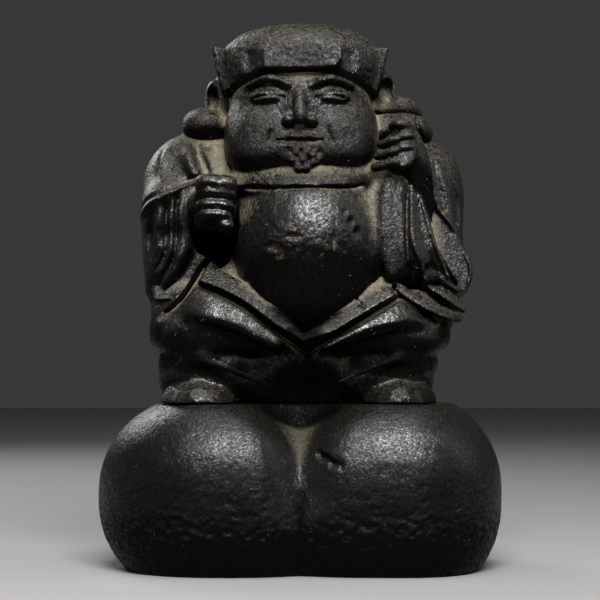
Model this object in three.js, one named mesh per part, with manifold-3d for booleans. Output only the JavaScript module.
// Carved wooden Daikoku, the god of plenty, standing on two rice bales.
// Millimetres, +Z up, the figure faces -Y. The origin is at the middle of the bales' underside.
import * as THREE from 'three';
import { mergeVertices } from 'three/addons/utils/BufferGeometryUtils.js';
import Module from 'manifold-3d';

const wasm = await Module();
wasm.setup();

// Driving dimensions
const figureHeight = 138; // soles to the crown of the cap
const balesWidth = 148;
const balesDepth = 96;
const balesHeight = 60; // floor to the planed top that the figure stands on
const seatGap = 0.3; // between the soles and the planed top

// Shape of the bales before they are planed
const leftBaleMiddle = 27; // where each is fullest, from the middle of the pair
const rightBaleMiddle = 36;
const baleMidHeight = 26.5; // where they are widest
const topPlaned = 5; // height taken off to make the figure's seat
const bottomPlaned = 12.5; // height taken off to make them stand
const sectionPower = 3; // 2 is round, higher is boxier
const baleRoundness = 0.05; // how much they thin towards each other, as a share of the section
const valleyWidth = 11;
const valleyDepthAbove = 0.24; // as a share of the section
const valleyDepthBelow = 0.05;

// The figure is set out in hundredths of its height, from the middle of its soles
const share = figureHeight / 100;

// Turns a closed three.js geometry into a solid that can be joined and cut
function solid(geometry) {
  geometry.deleteAttribute('normal');
  geometry.deleteAttribute('uv');
  const merged = mergeVertices(geometry);
  return new wasm.Manifold(new wasm.Mesh({
    numProp: 3,
    vertProperties: Float32Array.from(merged.attributes.position.array),
    triVerts: Uint32Array.from(merged.index.array),
  }));
}

// A rounded lump: an ellipsoid, or boxier with a higher power. turn is in degrees about X, Y and Z.
function lump(at, size, { power = 2, turn = [0, 0, 0], rows = 8, unit = share } = {}) {
  const geometry = new THREE.SphereGeometry(1, rows * 2, rows);
  geometry.rotateX(Math.PI / 2);
  const position = geometry.attributes.position;
  const point = new THREE.Vector3();
  for (let i = 0; i < position.count; i++) {
    point.fromBufferAttribute(position, i);
    const gauge = Math.abs(point.x) ** power + Math.abs(point.y) ** power + Math.abs(point.z) ** power;
    point.divideScalar(gauge ** (1 / power));
    position.setXYZ(i, point.x, point.y, point.z);
  }
  const place = new THREE.Matrix4().compose(
    new THREE.Vector3(...at).multiplyScalar(unit),
    new THREE.Quaternion().setFromEuler(new THREE.Euler(...turn.map(THREE.MathUtils.degToRad))),
    new THREE.Vector3(...size).multiplyScalar(unit),
  );
  return solid(geometry.applyMatrix4(place));
}

// A roll with tapered round ends, through points [x, y, z, radius].
// squash widens or flattens its section along the axes, a lower blunt gives fuller ends.
function roll(points, { squash = [1, 1, 1], sides = 8, rows = 8, blunt = 0.35, unit = share } = {}) {
  const stretch = new THREE.Vector3(...squash);
  const line = points.map(([x, y, z]) => new THREE.Vector3(x, y, z).divide(stretch));
  const curve = new THREE.CatmullRomCurve3(line, false, 'catmullrom', 0.5);
  const frames = curve.computeFrenetFrames(rows, false);
  const geometry = new THREE.SphereGeometry(1, sides, rows);
  const position = geometry.attributes.position;
  for (let i = 0; i < position.count; i++) {
    const row = Math.floor(i / (sides + 1));
    const along = row / rows;
    const around = (i % (sides + 1) % sides) / sides * 2 * Math.PI;
    const stage = along * (points.length - 1);
    const before = Math.min(Math.floor(stage), points.length - 2);
    const radius = THREE.MathUtils.lerp(points[before][3], points[before + 1][3], stage - before);
    const reach = row % rows === 0 ? 0 : radius * Math.sin(Math.PI * along) ** blunt;
    const spot = curve.getPoint(along)
      .addScaledVector(frames.normals[row], -Math.cos(around) * reach)
      .addScaledVector(frames.binormals[row], Math.sin(around) * reach)
      .multiply(stretch)
      .multiplyScalar(unit);
    position.setXYZ(i, spot.x, spot.y, spot.z);
  }
  return solid(geometry);
}

// An upright band that bends through stations [x, y, low, high], from left to right.
// Its back is the same line drawn in towards the middle of the head.
function band(stations, drawnIn) {
  const last = stations.length - 1;
  const geometry = new THREE.BoxGeometry(last, 2, 2, last, 1, 1);
  const position = geometry.attributes.position;
  for (let i = 0; i < position.count; i++) {
    const [x, y, low, high] = stations[Math.round(position.getX(i) + last / 2)];
    const inward = position.getZ(i) > 0 ? 1 : drawnIn;
    const z = position.getY(i) > 0 ? high : low;
    position.setXYZ(i, x * inward * share, y * inward * share, z * share);
  }
  return solid(geometry);
}

const join = (pieces) => pieces.reduce((whole, piece) => whole.add(piece));
const carve = (block, cuts) => cuts.reduce((whole, cut) => whole.subtract(cut), block);
const mirrored = (points) => points.map(([x, ...rest]) => [-x, ...rest]);

// A block that keeps what lies between two heights, in millimetres
function slice(low, high) {
  const wide = 2 * (balesWidth + figureHeight);
  const box = new THREE.BoxGeometry(wide, wide, high - low);
  return solid(box.translate(0, 0, (low + high) / 2));
}

// Two bales side by side, carved from one block: stations along X, each with a boxy round section
function riceBales() {
  const stations = 24;
  const around = 24;
  const geometry = new THREE.SphereGeometry(1, around, stations);
  const position = geometry.attributes.position;
  const rise = balesHeight - baleMidHeight + topPlaned;
  const drop = baleMidHeight + bottomPlaned;
  for (let i = 0; i < position.count; i++) {
    const along = 2 * Math.floor(i / (around + 1)) / stations - 1;
    const angle = 2 * Math.PI * (i % (around + 1) % around) / around;
    const x = Math.sign(along) * Math.sin(Math.PI / 2 * Math.abs(along) ** 1.25) * balesWidth / 2;
    const middle = x < 0 ? leftBaleMiddle : rightBaleMiddle;
    const outside = Math.max(Math.abs(x) - middle, 0) / (balesWidth / 2 - middle);
    const inside = Math.max(1 - Math.abs(x) / middle, 0);
    const fullness = Math.max(1 - outside ** 2.2, 0) ** (1 / 2.1) - baleRoundness * inside ** 2;
    const up = Math.sin(angle);
    const front = Math.cos(angle);
    const gauge = (Math.abs(up) ** sectionPower + Math.abs(front) ** sectionPower) ** (1 / sectionPower);
    const reach = fullness * valley(x, up / gauge, Math.abs(front) / gauge) / gauge;
    const z = baleMidHeight + up * reach * (up > 0 ? rise : drop);
    position.setXYZ(i, x, -front * reach * balesDepth / 2, z);
  }
  const high = baleMidHeight + 0.4 * (balesHeight - baleMidHeight);
  const notch = roll([
    [rightBaleMiddle - 26.5, 4.5 - balesDepth / 2, high + 2.5, 1],
    [rightBaleMiddle - 23, 3 - balesDepth / 2, high + 0.3, 2.2],
    [rightBaleMiddle - 19, 1.5 - balesDepth / 2, high - 2, 1],
  ], { rows: 5, unit: 1 });
  return carve(solid(geometry), [notch]).intersect(slice(0, balesHeight));
}

// The valley between the bales is deepest above and fades out towards the floor.
// Under the figure it is left filled, as its seat.
function valley(x, up, front) {
  const blend = THREE.MathUtils.smoothstep(up, -0.3, 1) * THREE.MathUtils.smoothstep(front, 0.4, 0.8);
  const depth = THREE.MathUtils.lerp(valleyDepthBelow, valleyDepthAbove, blend);
  return 1 - depth * Math.exp(-((x / valleyWidth) ** 2));
}

// Trunk and robe down to the ankles, hollowed in front between the boots
function trunk() {
  const blocks = [
    lump([0, 2, 47], [36.5, 17, 26], { power: 2.6, rows: 9 }),
    lump([0, 2, 16], [36, 18, 22], { power: 3, rows: 8 }),
    lump([0, -6, 24], [25, 15, 14], { rows: 6 }),
  ];
  return carve(join(blocks), [lump([0, -20, -1], [9.5, 10, 12], { power: 2.6, rows: 6 })]);
}

// Baggy trouser legs: a thigh, a hem roll and a boot on each side
function legs() {
  const thigh = [
    [-34, 3, 20.4, 8], [-30.6, -9, 21, 9.8], [-21.4, -18.4, 19.6, 10.4], [-9.4, -21, 15, 8.4],
    [0, -19, 9.6, 5],
  ];
  const hem = [
    [-34.4, -3, 9.6, 2.4], [-31.6, -13.4, 10.4, 3.4], [-25.6, -18.4, 10.4, 3.6], [-15, -20.6, 7, 3.2],
    [-7.4, -18.6, 3, 2.2],
  ];
  const pieces = [];
  for (const side of [1, -1]) {
    const line = side > 0 ? (points) => points : mirrored;
    pieces.push(
      roll(line(thigh), { rows: 7, sides: 10 }),
      roll(line(hem), { rows: 7, sides: 7 }),
      lump([-24.4 * side, -6, 7], [12.6, 11.6, 11], { power: 2.6, rows: 5 }),
      lump([-25.4 * side, -12.6, 0], [9.8, 12, 6.4], { power: 2.4, turn: [0, 0, -14 * side], rows: 5 }),
    );
  }
  return join(pieces);
}

// Waistband of the trousers, a V below the belly
function waistband() {
  const left = [
    [-31, -7, 37, 3], [-23.9, -14.6, 33, 3.2], [-15.4, -20.2, 28.6, 3.2], [-7.7, -24.4, 22.6, 2.8],
    [0.6, -26.6, 15.8, 1.8],
  ];
  const right = [
    [31, -8, 34.5, 3], [23.3, -15.8, 30.6, 3.2], [17, -20.4, 26, 3.2], [10.5, -24.4, 21, 2.8],
    [3, -26.6, 15.4, 1.8],
  ];
  return join([left, right].map((points) => roll(points, { rows: 7, sides: 7 })));
}

// Grooves between the waistband and the thighs
function lapGrooves() {
  const left = [
    [-31, -14, 31, 1], [-23, -20, 28, 1.6], [-14, -25.4, 23.4, 1.6], [-6, -28.6, 17.2, 1.4],
    [0, -29, 12, 1],
  ];
  const right = [[28, -18, 28.6, 1], [20, -24, 23, 1.6], [13, -27.4, 18.4, 1.6], [6, -29, 13.2, 1.2]];
  return [left, right].map((points) => roll(points, { squash: [1, 1.8, 1], sides: 6, rows: 7 }));
}

// Round belly under the robe
function belly() {
  return lump([1.7, -7, 41.5], [20, 24, 27], { power: 2.1, rows: 10 });
}

// Neckband under the chin
function neckband() {
  const line = [
    [-20, -15.4, 58.6, 1.8], [-10, -23.8, 57.6, 2.1], [1.3, -26.4, 57.4, 2.1], [12, -24.4, 57.8, 2.1],
    [22, -15.6, 62, 1.9],
  ];
  return roll(line, { rows: 8, sides: 6 });
}

function shoulders() {
  const folds = [
    [[-34.6, -4, 67, 1.6], [-36, -9, 61, 2.5], [-33.6, -12, 55.6, 2]],
    [[-28.4, -7, 68.6, 1.6], [-30, -12.2, 62.6, 2.5], [-26.6, -15.4, 57.6, 2]],
  ];
  return join([
    lump([-26.6, 1, 55.6], [15.4, 16, 16.8], { power: 2.1, rows: 7 }),
    lump([28, 2, 55], [15, 15, 17], { power: 2.1, rows: 7 }),
    ...folds.map((points) => roll(points, { sides: 6, rows: 4, blunt: 0.25 })),
  ]);
}

// Sleeve hanging from the arm on the left of the picture, its mouth open towards the belly
function leftSleeve() {
  const bag = lump([-32.4, -3.6, 43], [9.8, 16, 18], { power: 3, turn: [0, -3, 0], rows: 9 });
  const rim = [
    [-25, -21, 58, 2], [-29.6, -20, 52.4, 2.9], [-31, -18, 44, 2.8], [-33.2, -14.8, 36.4, 2.8],
    [-36.6, -9.6, 28.8, 2.4],
  ];
  const folds = [
    [[-34.4, -15.6, 54.6, 1.6], [-36, -13.6, 46, 2.4], [-37.4, -10.4, 34, 1.8]],
    [[-39, -9.6, 53, 1.6], [-39.6, -7, 45, 2.4], [-39.2, -5, 33, 1.8]],
  ];
  const lip = [
    [-23, -22, 58.6, 1.8], [-31, -16.4, 56.4, 2.3], [-37, -9.6, 54, 2.3], [-39.6, -2, 51.6, 1.8],
  ];
  const hem = [
    [-23.6, -12, 37, 3], [-28, -12.6, 32.6, 3.4], [-33.4, -10.4, 29, 3.4], [-37.6, -7, 28, 2.4],
  ];
  const mouth = [
    [-24.6, -22, 52, 3], [-25.6, -19.6, 45, 5.4], [-26.6, -17, 39, 5], [-30.6, -14, 34, 2.4],
  ];
  const ridge = { sides: 6, rows: 5, blunt: 0.25 };
  const whole = join([
    bag,
    roll(rim, { squash: [1, 1.5, 1], rows: 6, sides: 8, blunt: 0.25 }),
    ...folds.map((points) => roll(points, ridge)),
  ]);
  return join([
    carve(whole, [roll(mouth, { rows: 6 })]),
    roll(lip, ridge),
    roll(hem, ridge),
  ]);
}

// Sleeve on the right of the picture: a front panel and an outer one with the mouth between them
function rightSleeve() {
  const front = roll([
    [24.4, -12, 62, 5], [26, -13, 53, 7], [28.6, -13, 43, 9], [31.6, -11.4, 33, 9.4], [32.4, -10, 29, 8],
  ], { squash: [1, 1.15, 1], rows: 6, sides: 12, blunt: 0.2 });
  const outer = roll([
    [33, 3, 67, 5.6], [36, 2, 56, 7.4], [35.8, -1, 46, 7], [38, -4, 37, 7.4], [39.4, -6, 29, 6],
  ], { squash: [1, 1.7, 1], rows: 7, sides: 10, blunt: 0.2 });
  const folds = [
    [[26.4, -18.6, 57.4, 1.8], [26.6, -20.6, 47, 2.7], [26, -20, 33, 2.4]],
    [[28, -18.6, 57, 1.8], [30.6, -19.2, 47, 2.6], [32, -18, 32.4, 2.4]],
  ];
  const rim = [
    [27.4, -20, 57.8, 1.8], [31.4, -17.6, 52, 2.6], [34.2, -16, 44, 2.6], [37, -13.8, 36.6, 2.6],
    [40, -11, 30.6, 2.2],
  ];
  const mouth = [
    [34.6, -15.6, 51, 1.6], [37.4, -14.6, 45, 2.6], [40, -12.6, 38, 3], [42.6, -10.6, 31.6, 2.2],
  ];
  const whole = join([
    front, outer, ...[...folds, rim].map((points) => roll(points, { sides: 6, rows: 5, blunt: 0.25 })),
  ]);
  return carve(whole, [roll(mouth, { rows: 6, sides: 6 })]);
}

// Stiff side folds of the trousers below the right sleeve
function sideFolds() {
  const flat = { squash: [1, 1.8, 0.9], rows: 4, sides: 8, blunt: 0.25 };
  return join([
    roll([[31, -5, 31.6, 3], [38, -6, 28, 3.2], [43.8, -4.4, 24.4, 2]], flat),
    roll([[24, -10, 30, 3], [33, -11.4, 26, 3.4], [42.8, -6.4, 21.2, 2]], flat),
  ]);
}

// Four curled fingers, one above the other
function fingers(knuckle, tip, front, heights) {
  const middle = (knuckle[0] + tip[0]) / 2;
  return heights.map((z) => roll([
    [knuckle[0], knuckle[1], z, 1.5], [middle, front, z - 0.4, 1.75], [tip[0], tip[1], z - 0.4, 1.3],
  ], { sides: 6, rows: 4, blunt: 0.25 }));
}

// Right hand of the god, a fist held out in front with the palm inwards
function rightHand() {
  const forearm = [[-31, 0, 52, 7], [-26, -13, 51.6, 6.6], [-22, -22, 51.4, 5.4]];
  return join([
    roll(forearm, { rows: 5, sides: 8, blunt: 0.2 }),
    lump([-20.8, -24.4, 51.4], [5.4, 5, 5.6], { power: 2.6, rows: 5 }),
    ...fingers([-26.2, -24.6], [-15.6, -27], -30.2, [55.6, 52.7, 49.9, 47]),
  ]);
}

// Left hand of the god, a fist that grips the neck of the sack
function leftHand() {
  const forearm = [[36.6, -8, 45, 4], [35, -14, 51.6, 5.2], [31.6, -19.4, 59, 4.6], [28.4, -22, 64, 4.4]];
  return join([
    roll(forearm, { rows: 6, sides: 8 }),
    lump([27, -22.4, 65.2], [4.8, 4.9, 5.8], { power: 2.5, rows: 5 }),
    ...fingers([30.6, -22], [21.4, -23], -27.4, [69, 66.2, 63.6, 61.2]),
  ]);
}

// The sack: its body hangs on the back, one end shows over each shoulder
function sack() {
  const pleats = [
    [[26, 8, 70, 2], [19, 25, 62, 3.2], [8, 30, 50, 2.4]],
    [[27, 10, 63, 2], [25, 22, 54, 3.2], [18, 27, 43, 2.4]],
    [[22, 10, 74, 2], [8, 25, 69, 3.2], [-5, 29.6, 60, 2.4]],
  ];
  const neck = [[-26, 0, 73, 5], [-14, 9, 72, 9], [4, 12, 71, 11], [20, 6, 72, 8.4], [27, -3, 74, 4]];
  const upperFold = [[17, 2, 78.6, 2.6], [24, -5, 79, 2.9], [30.6, -4.4, 78.4, 2.2]];
  const lowerFold = [[17, -3, 73.4, 4], [26, -9.6, 74.2, 4], [33, -6.4, 72.8, 3]];
  return join([
    lump([1, 16, 54], [30, 17, 22], { power: 2.3, rows: 9 }),
    ...pleats.map((points) => roll(points, { sides: 6, rows: 4 })),
    roll(neck, { rows: 6, sides: 9 }),
    lump([-25, -5, 73.6], [6.6, 9, 4.8], { rows: 6 }),
    ...[upperFold, lowerFold].map((points) => roll(points, { rows: 4, sides: 8, blunt: 0.2 })),
  ]);
}

// Heights of the features, on even thirds: brow to nose base is as long as nose base to chin
function faceLines() {
  const brow = 82.5;
  const chin = 59;
  const noseBase = (brow + chin) / 2;
  return {
    brow,
    eyes: brow - 0.27 * (brow - noseBase),
    noseBase,
    mouth: noseBase - (noseBase - chin) / 3,
    front: -27.6,
  };
}

function head() {
  const cheek = [9, -17, faceLines().noseBase + 0.8];
  return join([
    lump([0.3, -9, 72.4], [20, 18.4, 14], { power: 2.8, rows: 10 }),
    lump([0.3, -9, 81], [18, 18.2, 12], { power: 2.6, rows: 7 }),
    lump(cheek, [9, 10.4, 7], { rows: 6 }),
    lump([-cheek[0], cheek[1], cheek[2]], [9, 10.4, 7], { rows: 6 }),
    lump([0.3, -18, 64.6], [7.6, 8.6, 5], { rows: 5 }),
  ]);
}

function eyeCuts() {
  const { eyes, front } = faceLines();
  const lid = [
    [3.6, front + 0.4, eyes - 0.6, 0.5], [8, front - 0.1, eyes + 0.4, 0.9],
    [12.6, front + 3, eyes - 0.9, 0.5],
  ];
  return [lid, mirrored(lid)].map((points) => roll(points, { squash: [1, 2, 1], sides: 6, rows: 5 }));
}

function browAndNose() {
  const { brow, noseBase, front } = faceLines();
  const browLine = [
    [2.4, front + 1.4, brow - 0.9, 1], [8, front + 1, brow + 0.9, 1.5], [14.2, front + 5, brow - 1, 1],
  ];
  const bridge = [[0, -25, brow, 1.4], [0, -27.4, brow - 4.6, 2.2], [0, -28.2, noseBase + 0.8, 3.1]];
  return join([
    roll(browLine, { sides: 5, rows: 4 }),
    roll(mirrored(browLine), { sides: 5, rows: 4 }),
    roll(bridge, { rows: 6, sides: 8, blunt: 0.25 }),
    lump([0, -27, noseBase + 1.2], [4.4, 3.2, 1.8], { power: 2.4, rows: 6 }),
  ]);
}

function mouthCut() {
  const { mouth } = faceLines();
  const line = [
    [-6.6, -25.4, mouth + 0.4, 0.5], [-3.4, -27.4, mouth, 0.9], [3.4, -27.4, mouth, 0.9],
    [6.6, -25.4, mouth + 0.4, 0.5],
  ];
  return roll(line, { squash: [1, 2, 1], sides: 6, rows: 6 });
}

function beard() {
  const z = faceLines().mouth;
  return join([-3, 0, 3].map((x) => roll([
    [x * 0.8, -25, z - 1.6, 1.6], [x, -25.4, z - 3.8, 1.9], [x * 0.7, -24, z - 6, 1.2],
  ], { sides: 6, rows: 4, blunt: 0.25 })));
}

function ears() {
  return join([-1, 1].map((side) => carve(
    lump([21.6 * side, -3.6, side < 0 ? 79.6 : 81], [3.6, 4.6, 6.2], { rows: 5 }),
    [lump([25 * side, -6.6, side < 0 ? 80.2 : 81.6], [1.7, 2.6, 3.2], { rows: 4 })],
  )));
}

// Flat soft cap: a low crown and a band with a raised front panel, its ends pointed before the ears
function cap() {
  return join([
    lump([0.5, -6.6, 89.6], [22.2, 21.4, 10.8], { power: 2.2, rows: 10 }),
    lump([0.5, -5, 87.4], [21, 19, 4], { power: 3, rows: 5 }),
    band([
      [-23.8, -11, 85, 92.8], [-22.4, -15.6, 81.6, 93], [-17.6, -23.4, 85.2, 92.4],
      [-9, -28.2, 86.6, 92.2],
      [-8.6, -29.6, 85.8, 92], [10, -29.6, 85.8, 92], [10.4, -28.2, 86.8, 92.2], [18, -23.4, 86, 92.4],
      [22.8, -15.6, 82.2, 92.4], [24.2, -11, 85.6, 92],
    ], 0.78),
  ]);
}

function figure() {
  const body = carve(
    join([trunk(), legs(), waistband(), belly(), shoulders(), sack()]),
    lapGrooves(),
  );
  const face = carve(join([head(), browAndNose()]), [...eyeCuts(), mouthCut()]);
  const whole = join([
    body, neckband(), leftSleeve(), rightSleeve(), sideFolds(), rightHand(), leftHand(),
    face, beard(), ears(), cap(),
  ]);
  return whole.intersect(slice(0, 2 * figureHeight));
}

function mesh(name, shape, color, roughness) {
  const { vertProperties, triVerts } = shape.getMesh();
  const geometry = new THREE.BufferGeometry();
  geometry.setAttribute('position', new THREE.BufferAttribute(Float32Array.from(vertProperties), 3));
  geometry.setIndex(new THREE.BufferAttribute(Uint32Array.from(triVerts), 1));
  geometry.computeVertexNormals();
  const material = new THREE.MeshStandardMaterial({ color, roughness, metalness: 0 });
  const made = new THREE.Mesh(geometry, material);
  made.name = name;
  return made;
}

const statue = new THREE.Group();
const standing = mesh('figure', figure(), 0x2b2925, 0.5);
standing.position.z = balesHeight + seatGap;
statue.add(standing, mesh('rice_bales', riceBales(), 0x262422, 0.55));

export default statue;
